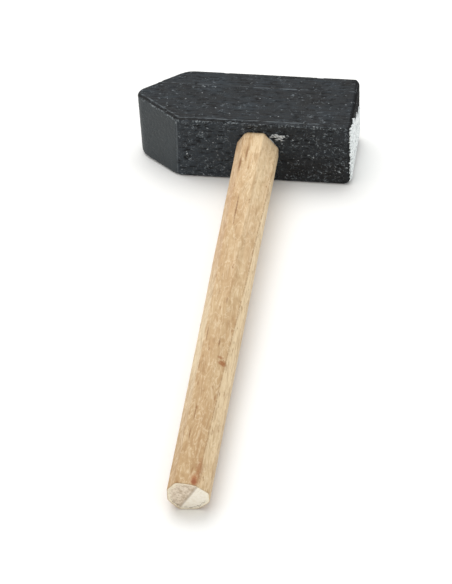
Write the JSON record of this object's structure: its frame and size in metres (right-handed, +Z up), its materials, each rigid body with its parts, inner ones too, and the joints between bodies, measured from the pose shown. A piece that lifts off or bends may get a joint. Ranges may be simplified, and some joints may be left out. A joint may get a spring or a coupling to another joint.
{
  "type": "small wooden cross-peen hammer",
  "caption": "Small wooden cross-peen hammer: black painted head block with a silver striking face, on a bare eight-sided beech handle.",
  "frame": {"origin": "on the ground, under the middle of the box that bounds the hammer as it lies on its side", "axes": "+X along the head from the peen to the striking face; +Y along the handle from the butt to the head; +Z up from the ground. The hammer rests on the head's lower front edge and on the butt, so its cheeks and its handle lean 1.850 degrees about X."},
  "size_m": [0.0484, 0.1456, 0.0156],
  "materials": {
    "black_painted_wood": "wood block under brushed black paint, satin, grain and pores showing through",
    "bare_beech": "whittled and left bare, short ray flecks",
    "dark_hardwood": "split hardwood, bare",
    "dried_glue": "dried wood glue, cloudy",
    "silver_paint": "brushed silver-grey paint, grainy"
  },
  "bodies": {
    "root": {"head_block": "black_painted_wood", "handle": "bare_beech", "eye_wedge": "dark_hardwood", "glue_line": "dried_glue", "face_coat": "silver_paint"}
  },
  "joints": []
}
